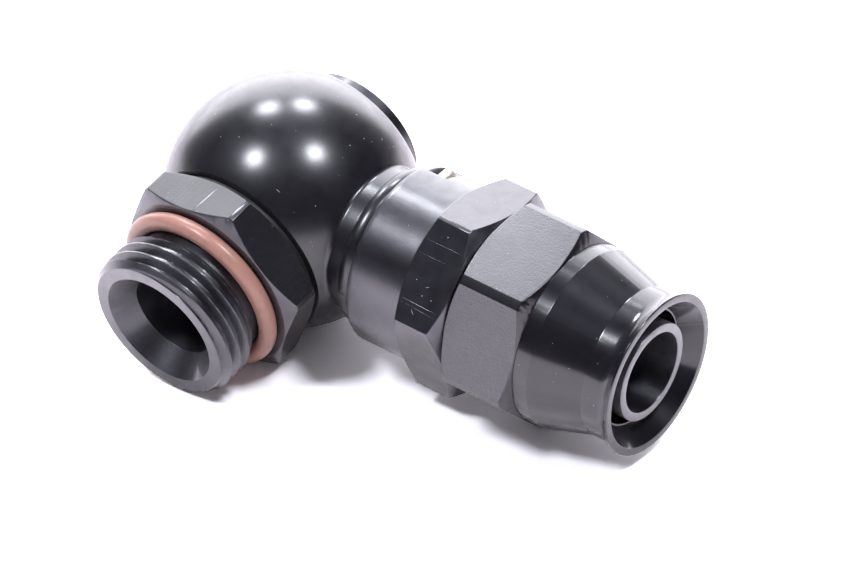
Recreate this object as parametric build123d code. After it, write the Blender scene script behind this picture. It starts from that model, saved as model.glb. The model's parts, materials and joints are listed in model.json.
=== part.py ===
from build123d import *
import math
import os

# Banjo fitting: a bolt with a port thread runs through a ball-shaped body, and a hose stem
# swivels on the body's spigot. All sizes are in millimetres.
# The assembly is drawn upright about the ball's centre, with the hose axis along +X and the
# port axis along -Y, and is then laid down as it comes to rest: on the ball, the end of the
# port thread and one corner of the socket nut. +Z is up, and the origin is on the floor,
# under the middle of the part.

# Clearances
running_gap = 0.05        # radial, between a journal and its bore
axial_gap = 0.05          # between faces that turn past each other
seal_gap = 0.03           # between a seal and a face that it isn't squeezed on
thread_gap = 0.05         # radial, between mating threads, drawn as plain cylinders

# Ball of the banjo body
ball_wall = 5.48          # from the chamber's corners out to the ball's surface
hex_side_cut = 6.05       # from the ball's surface in to the flat that the hex bears on
cap_side_cut = 5.3        # from the surface in to the flat on the far side
chamber_depth = 1.25      # from the hex side's bore out to the chamber's wall
chamber_half_width = 5.8
bore_lead = 0.4           # chamfer at both mouths of the stepped bore

# Bolt, from the ball outwards
washer_thickness = 0.7
washer_radius = 12.6
bolt_hex_across = 26.0
bolt_hex_length = 5.9
bolt_corner_radius = 14.81
o_ring_neck_step = 1.31   # from the thread's radius in to the neck
o_ring_neck_length = 3.4
port_thread_radius = 11.11
port_thread_length = 6.7
port_thread_chamfer = 0.9
port_thread_runout = 0.6
countersink_radius = 8.44
countersink_depth = 3.06
port_bore_radius = 6.15

# Bolt, inside the ball
waist_wall = 1.25         # round the bore, between the two journals
journal_wall = 1.45       # between the bore and the groove in the hex side's journal
cap_journal_step = 0.2    # from the waist out to the far side's journal
bore_bottom_wall = 0.3    # from the chamber's far wall back to the bottom of the bore
bore_bottom_radius = 0.8
cross_holes = 6
cross_hole_radius = 2.5

# Retaining screw on the far side
cap_head_radius = 9.8
cap_washer_inset = 0.2    # of the washer's edge from the head's
cap_head_thickness = 2.3
cap_head_chamfer = 0.3
cap_stem_radius = 3.0
cap_stem_length = 5.0
cap_stem_chamfer = 0.5
cap_hole_spare_depth = 0.4
cap_socket_across = 4.0
cap_socket_depth = 3.4

# Seals in rectangular grooves
port_o_ring_section = 2.46
seal_groove_width = 2.4
seal_groove_depth = 1.4
seal_width = 1.9
seal_corner_radius = 0.6
bolt_seal_land = 1.5      # from a ball face to the nearer wall of the bolt's groove

# Neck and spigot of the banjo body
neck_radius = 10.2
neck_length = 2.33        # from where it meets the ball
neck_fillet = 0.8
neck_edge_round = 0.3
bead_groove_width = 0.25
bead_groove_depth = 0.35
bead_height = 1.1         # above the neck
bead_length = 2.15
bead_round = 0.9
hose_bore_radius = 5.59
spigot_wall = 1.96        # between the bore and the seals' grooves
spigot_length = 12.6
spigot_chamfer = 0.5
rear_seal_from_wire = 3.65
seal_spacing = 3.8

# Collar of the hose stem
collar_gap = 0.3          # between the bead and the collar
collar_radius = 12.5
collar_length = 8.35
collar_chamfer = 0.32
collar_bore_spare = 0.6   # from the end of the spigot to the bottom of the collar's bore

# Retaining wire and the slot that it went in through
wire_radius = 0.95
wire_from_collar_back = 1.9
wire_turn = 318.0         # degrees of the ring before the end rises into the slot
wire_end_rise = 7.1       # length of the straight end
wire_lead_gap = 0.15      # radial, round the wire in its drilled lead
wire_slot_width = 3.0
wire_slot_wall = 1.4      # from the wire's line to the slot's floor
wire_slot_height = 2.0    # from the wire's line to the slot's roof
wire_slot_start = 2.6     # along the wire's straight end
wire_end_angle = 181.6    # where the wire leaves the ring, about the hose axis from straight down

# Hex, thread and nipple of the hose stem
stem_hex_across = 25.4
stem_hex_length = 7.4
stem_corner_radius = 14.53
stem_undercut_depth = 0.8
stem_undercut_width = 1.0
stem_thread_radius = 10.2
stem_thread_length = 8.0
stem_thread_chamfer = 0.7
nipple_wall = 1.24
nipple_tip_chamfer = 0.25
nipple_set_back = 0.93    # behind the rim of the socket nut

# Socket nut
nut_gap = 0.15            # between the two hexes
nut_hex_across = 25.4
nut_hex_length = 11.15
nut_corner_radius = 14.31
band_radius = 12.5
band_length = 2.2
taper_length = 6.95
land_radius = 10.4
land_length = 2.35
flare_length = 2.3
flare_lean = 0.75         # outward slope of the flare where it reaches the rim
rim_radius = 11.28
rim_round = 0.3
mouth_radius = 10.15
mouth_depth = 2.8
hose_room = 1.13          # between the nipple and the nut's throat
throat_step = 0.22        # the narrow ring face where the mouth meets the throat
throat_length = 6.9
nut_lead = 0.6
cone_step = 0.8           # from the thread in to the wide end of the cone

# Olive between the nipple and the nut's cone
olive_gap = 0.06          # on the nipple
olive_cone_gap = 0.15     # from the nut's cone
olive_length = 5.0
olive_edge = 0.2

# Hexes: 30 degree chamfers, and the corners' angles from the lowest line of each arm
hex_chamfer_angle = 30.0
hex_chamfer_step = 0.12   # the chamfer's circle on the end face lies this far inside the flats
bolt_corner_from_floor = -25.6
stem_corner_from_floor = 24.2
nut_corner_from_floor = -11.9
cut_overrun = 1.0         # how far a cutting solid runs past the face that it opens
edge_tolerance = 0.01     # for finding an edge by its radius and station

# Radii that follow from the bores and the fits
hex_journal_radius = port_bore_radius + journal_wall + seal_groove_depth
waist_radius = port_bore_radius + waist_wall
cap_journal_radius = waist_radius + cap_journal_step
chamber_radius = hex_journal_radius + running_gap + chamber_depth
ball_radius = math.hypot(chamber_radius, chamber_half_width) + ball_wall
bead_radius = neck_radius + bead_height
o_ring_neck_radius = port_thread_radius - o_ring_neck_step
spigot_radius = hose_bore_radius + spigot_wall + seal_groove_depth
spigot_bore_radius = spigot_radius + running_gap
wire_ring_radius = (spigot_radius + spigot_bore_radius) / 2
nipple_radius = hose_bore_radius + nipple_wall
throat_radius = nipple_radius + hose_room
nut_thread_radius = stem_thread_radius + thread_gap
cone_back_radius = nut_thread_radius - cone_step

# Stations along the port axis, from the ball's centre
hex_side_face = ball_radius - hex_side_cut
cap_side_face = ball_radius - cap_side_cut
hex_back = hex_side_face + axial_gap + washer_thickness
hex_front = hex_back + bolt_hex_length
thread_start = hex_front + o_ring_neck_length
port_end = thread_start + port_thread_length
cap_seat = -(cap_side_face + axial_gap + washer_thickness)
bore_bottom = -(chamber_half_width - bore_bottom_wall)
hex_seal_station = hex_side_face - bolt_seal_land - seal_groove_width / 2
cap_seal_station = -(cap_side_face - bolt_seal_land - seal_groove_width / 2)

# Stations along the hose axis, from the ball's centre
neck_start = math.sqrt(ball_radius**2 - neck_radius**2)
neck_end = neck_start + neck_length
bead_start = neck_end + bead_groove_width
bead_end = bead_start + bead_length
collar_back = bead_end + collar_gap
wire_station = collar_back + wire_from_collar_back
stem_hex_back = collar_back + collar_length
stem_hex_front = stem_hex_back + stem_hex_length
spigot_end = bead_end + spigot_length
collar_bore_end = spigot_end + collar_bore_spare
nut_back = stem_hex_front + nut_gap
nut_hex_front = nut_back + nut_hex_length
band_front = nut_hex_front + band_length
taper_front = band_front + taper_length
land_front = taper_front + land_length
rim_face = land_front + flare_length
throat_face = rim_face - mouth_depth
throat_back = throat_face - throat_length
nipple_end = rim_face - nipple_set_back
stem_thread_end = stem_hex_front + stem_undercut_width + stem_thread_length
nut_thread_end = stem_thread_end + axial_gap
rear_seal_station = wire_station + rear_seal_from_wire
front_seal_station = rear_seal_station + seal_spacing


def dip_to_floor(station, radius):
    """Angle by which an arm dips when its edge at this station and radius meets the floor."""
    reach = math.hypot(station, radius)
    return math.asin(ball_radius / reach) - math.atan2(radius, station)


def half_land(across, corner_radius):
    """Half the angle, in degrees, that a hex's turned corner spans."""
    return 30 - math.degrees(math.acos(across / 2 / corner_radius))


def chamfer_length(across, corner_radius):
    """Length along the axis of the chamfer on a hex's corners."""
    inner = across / 2 - hex_chamfer_step
    return (corner_radius - inner) * math.tan(math.radians(hex_chamfer_angle))


def contact_radius(across, corner_radius, corner_angle):
    """Height of a hex's axis above the floor that its nearest corner touches."""
    off_corner = max(abs(corner_angle) - half_land(across, corner_radius), 0)
    return corner_radius * math.cos(math.radians(off_corner))


port_dip = dip_to_floor(port_end - port_thread_chamfer, port_thread_radius)
hose_dip = dip_to_floor(
    nut_hex_front - chamfer_length(nut_hex_across, nut_corner_radius),
    contact_radius(nut_hex_across, nut_corner_radius, nut_corner_from_floor),
)


def lying():
    """Placement that lays the upright assembly on the floor."""
    hose = Vector(math.cos(hose_dip), 0, -math.sin(hose_dip))
    port_x = -math.tan(hose_dip) * math.sin(port_dip)
    port_z = -math.sin(port_dip)
    port_y = -math.sqrt(1 - port_x**2 - port_z**2)
    port = Vector(port_x, port_y, port_z)
    upright = hose.cross(port * -1)
    return Plane(origin=(0, 0, ball_radius), x_dir=hose, z_dir=upright).location


# In the arm frames local Z runs outwards along the arm and local X points straight down.
port_arm = Plane(origin=(0, 0, 0), x_dir=(0, 0, -1), z_dir=(0, -1, 0))
hose_arm = Plane(origin=(0, 0, 0), x_dir=(0, 0, -1), z_dir=(1, 0, 0))

# The floor's direction about each arm, from local X
floor_flatness = math.sqrt(1 - math.sin(port_dip) ** 2 - math.sin(hose_dip) ** 2)
floor_about_port = math.degrees(math.atan2(math.sin(hose_dip), floor_flatness))
floor_about_hose = -math.degrees(math.atan2(math.sin(port_dip), floor_flatness))


def turned(*outline):
    """Solid turned about local Z from (radius, station) points."""
    profile = make_face(Polyline(*[(radius, 0, station) for radius, station in outline], close=True))
    return revolve(profile, axis=Axis.Z, revolution_arc=360)


def cylinder_between(radius, low, high):
    """Cylinder about local Z between two stations."""
    return Pos(0, 0, (low + high) / 2) * Cylinder(radius, high - low)


def hexagon_prism(across, low, high, corner_angle):
    """Six-sided prism between two stations, with one corner at the given angle."""
    outline = RegularPolygon(across / 2, 6, major_radius=False)
    prism = extrude(outline, amount=high - low)
    return Pos(0, 0, low) * (Rot(0, 0, corner_angle) * prism)


def hex_section(across, corner_radius, low, high, corner_angle):
    """Turned hex: chamfered at 30 degrees at both ends, with its corners turned off."""
    recess = chamfer_length(across, corner_radius)
    inner = across / 2 - hex_chamfer_step
    blank = turned(
        (0, low), (inner, low), (corner_radius, low + recess),
        (corner_radius, high - recess), (inner, high), (0, high),
    )
    return blank & hexagon_prism(across, low, high, corner_angle)


def rounded_rims(solid, radius, stations, amount):
    """Fillet on the circular edges of one radius at the given stations."""
    rims = [
        edge for edge in solid.edges().filter_by(GeomType.CIRCLE)
        if abs(edge.radius - radius) < edge_tolerance
        and min(abs(edge.center().Z - station) for station in stations) < edge_tolerance
    ]
    return fillet(rims, amount)


def groove(radius, depth, station, width):
    """Ring to cut from a shaft, for a rectangular groove."""
    half = width / 2
    outside = radius + cut_overrun
    return turned(
        (radius - depth, station - half), (outside, station - half),
        (outside, station + half), (radius - depth, station + half),
    )


def squeezed_seal(inner, outer, station):
    """O-ring as it lies squeezed between a groove's floor and the bore."""
    section = Plane.XZ * Pos((inner + outer) / 2, station) * RectangleRounded(
        outer - inner, seal_width, seal_corner_radius)
    return revolve(section, axis=Axis.Z, revolution_arc=360)


def ring(inner, outer, low, high):
    """Flat ring between two stations."""
    return cylinder_between(outer, low, high) - cylinder_between(
        inner, low - cut_overrun, high + cut_overrun)


def banjo_bolt():
    """Port thread, O-ring neck, hex, journals and waist, bored from the port end."""
    runout_radius = port_thread_radius - port_thread_runout
    hex_core_radius = bolt_hex_across / 2 - hex_chamfer_step
    outside = turned(
        (0, cap_seat), (cap_journal_radius - bore_lead, cap_seat),
        (cap_journal_radius, cap_seat + bore_lead),
        (cap_journal_radius, -chamber_half_width), (waist_radius, -chamber_half_width),
        (waist_radius, chamber_half_width), (hex_journal_radius, chamber_half_width),
        (hex_journal_radius, hex_back), (hex_core_radius, hex_back),
        (hex_core_radius, hex_front), (o_ring_neck_radius, hex_front),
        (o_ring_neck_radius, thread_start), (runout_radius, thread_start),
        (port_thread_radius, thread_start + port_thread_runout),
        (port_thread_radius, port_end - port_thread_chamfer),
        (port_thread_radius - port_thread_chamfer, port_end), (0, port_end),
    )
    corner = floor_about_port + bolt_corner_from_floor
    bolt = outside + hex_section(bolt_hex_across, bolt_corner_radius, hex_back, hex_front, corner)
    bolt -= turned(
        (0, bore_bottom), (port_bore_radius - bore_bottom_radius, bore_bottom),
        (port_bore_radius, bore_bottom + bore_bottom_radius),
        (port_bore_radius, port_end - countersink_depth),
        (countersink_radius, port_end), (countersink_radius, port_end + cut_overrun),
        (0, port_end + cut_overrun),
    )
    for spoke in range(cross_holes):
        hole = Rot(0, 0, spoke * 360 / cross_holes) * (
            Rot(0, 90, 0) * cylinder_between(cross_hole_radius, port_bore_radius / 2, chamber_radius))
        bolt -= hole
    bolt -= groove(hex_journal_radius, seal_groove_depth, hex_seal_station, seal_groove_width)
    bolt -= groove(cap_journal_radius, seal_groove_depth, cap_seal_station, seal_groove_width)
    hole_bottom = cap_seat + cap_stem_length + cap_hole_spare_depth
    return bolt - cylinder_between(cap_stem_radius + thread_gap, cap_seat - cut_overrun, hole_bottom)


def port_o_ring():
    """Round-section ring in the neck behind the port thread."""
    section_radius = port_o_ring_section / 2
    station = hex_front + seal_gap + section_radius
    return Pos(0, 0, station) * Torus(o_ring_neck_radius + seal_gap + section_radius, section_radius)


def hex_side_thrust_washer():
    """Thin washer under the bolt's hex."""
    return ring(hex_journal_radius + running_gap, washer_radius, hex_back - washer_thickness, hex_back)


def cap_side_thrust_washer():
    """Thin washer under the retaining screw's head."""
    outer = cap_head_radius - cap_washer_inset
    return ring(cap_journal_radius + running_gap, outer, cap_seat, cap_seat + washer_thickness)


def bolt_seal(journal_radius, station):
    """O-ring in one of the bolt's grooves."""
    groove_floor = journal_radius - seal_groove_depth
    return squeezed_seal(groove_floor, journal_radius + running_gap - seal_gap, station)


def retaining_screw():
    """Round flat head with a hex socket, and the short stem that holds it."""
    head_face = cap_seat - cap_head_thickness
    stem_end = cap_seat + cap_stem_length
    screw = turned(
        (0, head_face), (cap_head_radius - cap_head_chamfer, head_face),
        (cap_head_radius, head_face + cap_head_chamfer), (cap_head_radius, cap_seat),
        (cap_stem_radius, cap_seat), (cap_stem_radius, stem_end - cap_stem_chamfer),
        (cap_stem_radius - cap_stem_chamfer, stem_end), (0, stem_end),
    )
    return screw - hexagon_prism(
        cap_socket_across, head_face - cut_overrun, head_face + cap_socket_depth, 0)


def ball_with_neck():
    """Ball and neck turned from one bar, with the hollow round where they meet."""
    ball = Sphere(ball_radius)
    blank = ball + cylinder_between(neck_radius, 0, neck_end)
    blank = rounded_rims(blank, neck_radius, [neck_start], neck_fillet)
    return rounded_rims(blank, neck_radius, [neck_end], neck_edge_round)


def spigot():
    """Bead, wire groove and seal grooves in front of the neck."""
    shaft = turned(
        (0, neck_end - cut_overrun), (neck_radius - bead_groove_depth, neck_end - cut_overrun),
        (neck_radius - bead_groove_depth, bead_start), (bead_radius, bead_start),
        (bead_radius, bead_end), (spigot_radius, bead_end),
        (spigot_radius, spigot_end - spigot_chamfer), (spigot_radius - spigot_chamfer, spigot_end),
        (0, spigot_end),
    )
    shaft = rounded_rims(shaft, bead_radius, [bead_start, bead_end], bead_round)
    shaft -= Pos(0, 0, wire_station) * Torus(wire_ring_radius, wire_radius + running_gap)
    for station in (rear_seal_station, front_seal_station):
        shaft -= groove(spigot_radius, seal_groove_depth, station, seal_groove_width)
    return shaft


def banjo_body():
    """Ball, neck and spigot in one piece, with the stepped bore and the passage to the spigot."""
    body = hose_arm * (ball_with_neck() + spigot())
    far_side = ball_radius + cut_overrun
    hex_bore = hex_journal_radius + running_gap
    cap_bore = cap_journal_radius + running_gap
    cutter = turned(
        (0, -far_side), (far_side, -far_side), (far_side, -cap_side_face),
        (cap_bore + bore_lead, -cap_side_face), (cap_bore, -cap_side_face + bore_lead),
        (cap_bore, -chamber_half_width), (chamber_radius, -chamber_half_width),
        (chamber_radius, chamber_half_width), (hex_bore, chamber_half_width),
        (hex_bore, hex_side_face - bore_lead), (hex_bore + bore_lead, hex_side_face),
        (far_side, hex_side_face), (far_side, far_side), (0, far_side),
    )
    body -= port_arm * cutter
    passage = cylinder_between(hose_bore_radius, waist_radius, spigot_end + cut_overrun)
    return body - hose_arm * passage


def wire_frame():
    """Plane of the wire: local X points to where the wire leaves the ring, Y along its end."""
    angle = math.radians(wire_end_angle)
    out = (math.cos(angle), math.sin(angle), 0)
    return Plane(origin=(0, 0, wire_station), x_dir=out, z_dir=(0, 0, -1))


def swivel_wire():
    """Round wire that follows the groove and rises along a tangent into the slot."""
    start = math.radians(-wire_turn)
    first = (wire_ring_radius * math.cos(start), wire_ring_radius * math.sin(start), 0)
    turn = CenterArc((0, 0, 0), wire_ring_radius, -wire_turn, wire_turn)
    rise = Line((wire_ring_radius, 0, 0), (wire_ring_radius, wire_end_rise, 0))
    heading = (-math.sin(start), math.cos(start), 0)
    section = Plane(origin=first, z_dir=heading) * Circle(wire_radius)
    return wire_frame() * sweep(section, path=Wire([turn, rise]))


def swivel_seal(station):
    """O-ring in one of the spigot's grooves."""
    return squeezed_seal(spigot_radius - seal_groove_depth, spigot_bore_radius - seal_gap, station)


def wire_slot():
    """Drilled lead for the wire and the milled slot that opens it to the outside."""
    reach = collar_radius + cut_overrun
    lead = Pos(wire_ring_radius, 0, 0) * (
        Rot(-90, 0, 0) * cylinder_between(wire_radius + wire_lead_gap, 0, reach))
    depth = wire_slot_wall + wire_slot_height
    middle = wire_ring_radius - wire_slot_wall + depth / 2
    length = reach - wire_slot_start
    slot = Pos(middle, wire_slot_start + length / 2, 0) * Box(depth, length, wire_slot_width)
    return wire_frame() * (lead + slot)


def hose_stem():
    """Collar, hex, male thread and nipple in one piece."""
    corner = floor_about_hose + stem_corner_from_floor
    undercut_radius = stem_thread_radius - stem_undercut_depth
    outside = turned(
        (0, collar_back), (collar_radius - collar_chamfer, collar_back),
        (collar_radius, collar_back + collar_chamfer), (collar_radius, stem_hex_front),
        (undercut_radius, stem_hex_front),
        (undercut_radius, stem_hex_front + stem_undercut_width),
        (stem_thread_radius, stem_hex_front + stem_undercut_width + stem_thread_chamfer),
        (stem_thread_radius, stem_thread_end - stem_thread_chamfer),
        (stem_thread_radius - stem_thread_chamfer, stem_thread_end),
        (nipple_radius, stem_thread_end), (nipple_radius, nipple_end - nipple_tip_chamfer),
        (nipple_radius - nipple_tip_chamfer, nipple_end), (0, nipple_end),
    )
    stem = outside + hex_section(
        stem_hex_across, stem_corner_radius, stem_hex_back, stem_hex_front, corner)
    stem -= turned(
        (0, collar_back - cut_overrun), (spigot_bore_radius + collar_chamfer, collar_back - cut_overrun),
        (spigot_bore_radius + collar_chamfer, collar_back),
        (spigot_bore_radius, collar_back + collar_chamfer),
        (spigot_bore_radius, collar_bore_end), (hose_bore_radius, collar_bore_end),
        (hose_bore_radius, nipple_end + cut_overrun), (0, nipple_end + cut_overrun),
    )
    stem -= Pos(0, 0, wire_station) * Torus(wire_ring_radius, wire_radius + running_gap)
    return stem - wire_slot()


def cone_radius(station):
    """Radius of the socket nut's inner cone at a station."""
    part_way = (station - nut_thread_end) / (throat_back - nut_thread_end)
    return cone_back_radius + (throat_radius - cone_back_radius) * part_way


def olive():
    """Sleeve on the nipple, tapered to the nut's cone."""
    back = nut_thread_end
    front = back + olive_length
    inner = nipple_radius + olive_gap
    back_radius = cone_back_radius - olive_cone_gap
    front_radius = cone_radius(front) - olive_cone_gap
    return turned(
        (inner + olive_edge, back), (back_radius - olive_edge, back),
        (back_radius, back + olive_edge), (front_radius, front - olive_edge),
        (front_radius - olive_edge, front), (inner, front), (inner, back + olive_edge),
    )


def flare():
    """Hollow curve from the nut's land out to its rim, as an edge of the profile."""
    return Spline(
        (land_radius, 0, land_front), (rim_radius, 0, rim_face - rim_round),
        tangents=((0, 0, 1), (flare_lean, 0, 1)),
    )


def nut_outside():
    """Band, taper, land and flared rim, closed to the axis."""
    chain = [
        Polyline(
            (0, 0, nut_back), (nut_thread_radius, 0, nut_back),
            (nut_thread_radius, 0, nut_back + nut_lead), (band_radius, 0, nut_back + nut_lead),
            (band_radius, 0, band_front), (land_radius, 0, taper_front), (land_radius, 0, land_front),
        ),
        flare(),
        Polyline(
            (rim_radius, 0, rim_face - rim_round), (rim_radius - rim_round, 0, rim_face),
            (0, 0, rim_face), (0, 0, nut_back),
        ),
    ]
    return revolve(make_face(chain), axis=Axis.Z, revolution_arc=360)


def socket_nut():
    """Second hex, shoulder band, taper and flared mouth, threaded and coned inside."""
    corner = floor_about_hose + nut_corner_from_floor
    nut = nut_outside() + hex_section(
        nut_hex_across, nut_corner_radius, nut_back, nut_hex_front, corner)
    return nut - turned(
        (0, nut_back - cut_overrun), (nut_thread_radius + nut_lead, nut_back - cut_overrun),
        (nut_thread_radius + nut_lead, nut_back), (nut_thread_radius, nut_back + nut_lead),
        (nut_thread_radius, nut_thread_end), (cone_back_radius, nut_thread_end),
        (throat_radius, throat_back), (throat_radius, throat_face),
        (throat_radius + throat_step, throat_face), (mouth_radius, rim_face),
        (mouth_radius, rim_face + cut_overrun), (0, rim_face + cut_overrun),
    )


def pieces():
    """Every piece by name, in the upright assembly."""
    on_port = {
        "banjo_bolt": banjo_bolt(),
        "port_o_ring": port_o_ring(),
        "hex_side_thrust_washer": hex_side_thrust_washer(),
        "cap_side_thrust_washer": cap_side_thrust_washer(),
        "bolt_seal_hex_side": bolt_seal(hex_journal_radius, hex_seal_station),
        "bolt_seal_cap_side": bolt_seal(cap_journal_radius, cap_seal_station),
        "retaining_screw": retaining_screw(),
    }
    on_hose = {
        "swivel_wire": swivel_wire(),
        "swivel_seal_rear": swivel_seal(rear_seal_station),
        "swivel_seal_front": swivel_seal(front_seal_station),
        "hose_stem": hose_stem(),
        "olive": olive(),
        "socket_nut": socket_nut(),
    }
    placed = {name: port_arm.location * solid for name, solid in on_port.items()}
    placed.update({name: hose_arm.location * solid for name, solid in on_hose.items()})
    placed["banjo_body"] = banjo_body()
    return placed


def centred_on_floor(laid):
    """Placement that brings the middle of the whole part's box over the origin."""
    boxes = [solid.bounding_box() for solid in laid.values()]
    middle_x = (min(box.min.X for box in boxes) + max(box.max.X for box in boxes)) / 2
    middle_y = (min(box.min.Y for box in boxes) + max(box.max.Y for box in boxes)) / 2
    return Pos(-middle_x, -middle_y, -min(box.min.Z for box in boxes))


os.makedirs("parts", exist_ok=True)
rest = lying()
laid = {name: rest * solid for name, solid in pieces().items()}
to_origin = centred_on_floor(laid)
for name, solid in laid.items():
    export_step(to_origin * solid, f"parts/{name}.step")
    print(name, round(solid.volume, 2))
centre = (to_origin * rest).position
print("ball centre", round(centre.X, 4), round(centre.Y, 4), round(centre.Z, 4))
print("port axis dips", round(math.degrees(port_dip), 3), "degrees")
print("hose axis dips", round(math.degrees(hose_dip), 3), "degrees")
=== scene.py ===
"""Looks of a black anodised banjo fitting: turned and milled pieces, materials, light and camera.

Sizes are in millimetres until a mesh is placed. Each arm of the fitting has its own frame, with
local Z along the arm from the ball's centre and local X pointing down, square to both arms.
"""
import json
import math
import random

import bpy
import bmesh
import numpy as np
from mathutils import Matrix, Vector


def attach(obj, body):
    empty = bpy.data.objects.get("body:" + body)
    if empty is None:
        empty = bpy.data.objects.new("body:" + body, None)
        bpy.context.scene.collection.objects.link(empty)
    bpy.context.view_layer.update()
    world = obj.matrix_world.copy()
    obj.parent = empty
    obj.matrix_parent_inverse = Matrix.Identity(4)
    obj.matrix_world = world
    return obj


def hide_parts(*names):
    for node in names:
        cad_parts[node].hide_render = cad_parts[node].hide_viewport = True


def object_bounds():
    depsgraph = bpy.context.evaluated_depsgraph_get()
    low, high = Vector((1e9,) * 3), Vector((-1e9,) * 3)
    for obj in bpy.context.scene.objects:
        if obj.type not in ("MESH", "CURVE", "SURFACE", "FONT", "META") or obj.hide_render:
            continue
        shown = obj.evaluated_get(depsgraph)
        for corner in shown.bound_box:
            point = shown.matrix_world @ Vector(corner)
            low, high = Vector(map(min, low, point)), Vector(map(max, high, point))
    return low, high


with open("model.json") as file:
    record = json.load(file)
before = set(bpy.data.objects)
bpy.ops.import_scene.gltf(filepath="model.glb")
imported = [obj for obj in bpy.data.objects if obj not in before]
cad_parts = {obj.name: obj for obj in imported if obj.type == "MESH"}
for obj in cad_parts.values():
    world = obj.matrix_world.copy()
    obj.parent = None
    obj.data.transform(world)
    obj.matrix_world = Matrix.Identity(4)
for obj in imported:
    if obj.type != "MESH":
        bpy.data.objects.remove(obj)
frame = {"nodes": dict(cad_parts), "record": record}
cad_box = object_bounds()

MM = 0.001
IMAGE_WIDTH = 850
IMAGE_HEIGHT = 567
SENSOR_WIDTH = 36.0

# Camera, found from the circles of the mouths and the collar and from the hexes' edges
CAMERA_FOCAL_PX = 5000.0
CAMERA_AZIMUTH = 37.9
CAMERA_ELEVATION = 32.99
CAMERA_ROLL = -0.7
CAMERA_CLIP = (0.01, 20.0)
BALL_RIGHT = -17.77        # of the optical axis, in millimetres
BALL_DOWN = -11.28
BALL_DEPTH = 663.94

# Studio, read from what the ball reflects
BACKDROP_DIRECTION = (-0.637, 0.770, 0.043)
BACKDROP_REACH = 42.0      # degrees from its middle to its edge
BACKDROP_SOFTNESS = 5.0
BACKDROP_LEVEL = 4.2
ROOM_LEVEL = 0.03
ROOM_FILL = 0.17           # level of the whole room for matt surfaces
ROOM_COLOR = (0.94, 0.93, 1.0)
LAMP_COLOR = (0.91, 0.935, 1.0)
LAMP_DISTANCE = 1.2
LAMP_SIZE = 0.26
BACK_LAMPS = 5.0
FRONT_LAMPS = 7.5
LAMPS = (
    ("back_left", (-0.504, 0.263, 0.823), BACK_LAMPS),
    ("back_right", (-0.231, 0.519, 0.823), BACK_LAMPS),
    ("front_left", (-0.230, -0.496, 0.837), FRONT_LAMPS),
    ("front_right", (0.417, 0.025, 0.909), FRONT_LAMPS),
)
FLOOR_SIZE = 6.0
FLOOR_ROUGHNESS = 0.9
FLOOR_COLOR = (0.85, 0.832, 0.845)
FLOOR_GLARE = 2.4          # the photograph shows the floor burnt out
FLOOR_REFLECTED = (1.27, 1.18, 1.23)    # and less so in the part's reflections

# Materials: scales in grains for each millimetre, depths in millimetres
BLACK_COLOR = (0.009, 0.008, 0.012)
HAZE_TINT = (0.88, 0.88, 1.0, 1)
HAZE_ROUGHNESS = 0.4
HAZE_IOR = 1.6
OXIDE_IOR = 1.62
QUARTER_TURN = 0.25        # from the tangent to the direction that gloss is drawn out in
LEAST_WEAR = 0.8           # lowest roughness, as a part of the material's own
WEAR_SCALE = 0.5
RING_SCALE = 4.0
TURNED_GRAIN_SCALE = 9.0
MILLED_GRAIN_SCALE = 3.0
MILLED_SPECKLE_SCALE = 6.0
RUBBER_MOTTLE = (0.85, 1.15)    # darkest and lightest, as parts of the colour
RUBBER_MOTTLE_SCALE = 0.9
RUBBER_GRAIN_SCALE = 4.0
RUBBER_GRAIN_DEPTH = 0.01
METAL_SHARE = 0.6          # of drawn metal, the rest is dull film
METAL_WEAR_SCALE = 2.0
METAL_GRAIN_SCALE = 5.0
METAL_GRAIN_DEPTH = 0.004
NOISE_SPAN = (0.3, 0.7)    # where most values of a noise lie
FLAT_TOLERANCE = 0.02      # for telling a hex's flats from the rest

# Ball and its flats
BALL_RADIUS = 17.3
HEX_SIDE_FACE = 11.25
CAP_SIDE_FACE = 12.0
CHAMBER_RADIUS = 10.3
CHAMBER_HALF_WIDTH = 5.8
RUNNING_GAP = 0.05
AXIAL_GAP = 0.05
BORE_LEAD = 0.4
BALL_STEPS = 120
FLAT_BEVEL_INSIDE = 0.2    # bevel round the ball's flat on the hex side
FLAT_BEVEL_OUTSIDE = 0.1
FLAT_BEVEL_DROP = 0.15

# Bolt
WASHER_THICKNESS = 0.7
WASHER_RADIUS = 12.6
WASHER_EDGE = 0.1
HEX_BACK = HEX_SIDE_FACE + AXIAL_GAP + WASHER_THICKNESS
HEX_LENGTH = 5.9
HEX_FRONT = HEX_BACK + HEX_LENGTH
BOLT_ACROSS = 26.0
BOLT_CORNER = 14.81
BOLT_CORNER_FROM_FLOOR = -25.6
NECK_RADIUS = 9.8
NECK_FILLET = 0.25
NECK_LENGTH = 3.4
THREAD_START = HEX_FRONT + NECK_LENGTH
THREAD_LENGTH = 6.7
THREAD_RADIUS = 11.11
THREAD_PITCH = 1.814
THREAD_DEPTH = 1.05
THREAD_CHAMFER = 0.9
THREAD_ROWS = 36           # rings of the mesh for each pitch
THREAD_FLANK = math.radians(30)
THREAD_CREST_PART = 14     # half a crest is the pitch divided by this
PORT_END = THREAD_START + THREAD_LENGTH
COUNTERSINK_RADIUS = 8.44
COUNTERSINK_DEPTH = 3.06
PORT_BORE = 6.15
HEX_JOURNAL = 9.0
CAP_JOURNAL = 7.6
WAIST = 7.4
BORE_BOTTOM = -5.5
BORE_BOTTOM_ROUND = 0.8
CROSS_HOLES = 6
CROSS_HOLE_RADIUS = 2.5
CAP_SEAT = -(CAP_SIDE_FACE + AXIAL_GAP + WASHER_THICKNESS)
CAP_WASHER_RADIUS = 9.6
CAP_HEAD_RADIUS = 9.8
CAP_HEAD_THICKNESS = 2.3
CAP_HEAD_CHAMFER = 0.3
CAP_HEAD_EDGE = 0.1
CAP_STEM = 3.0
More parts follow.
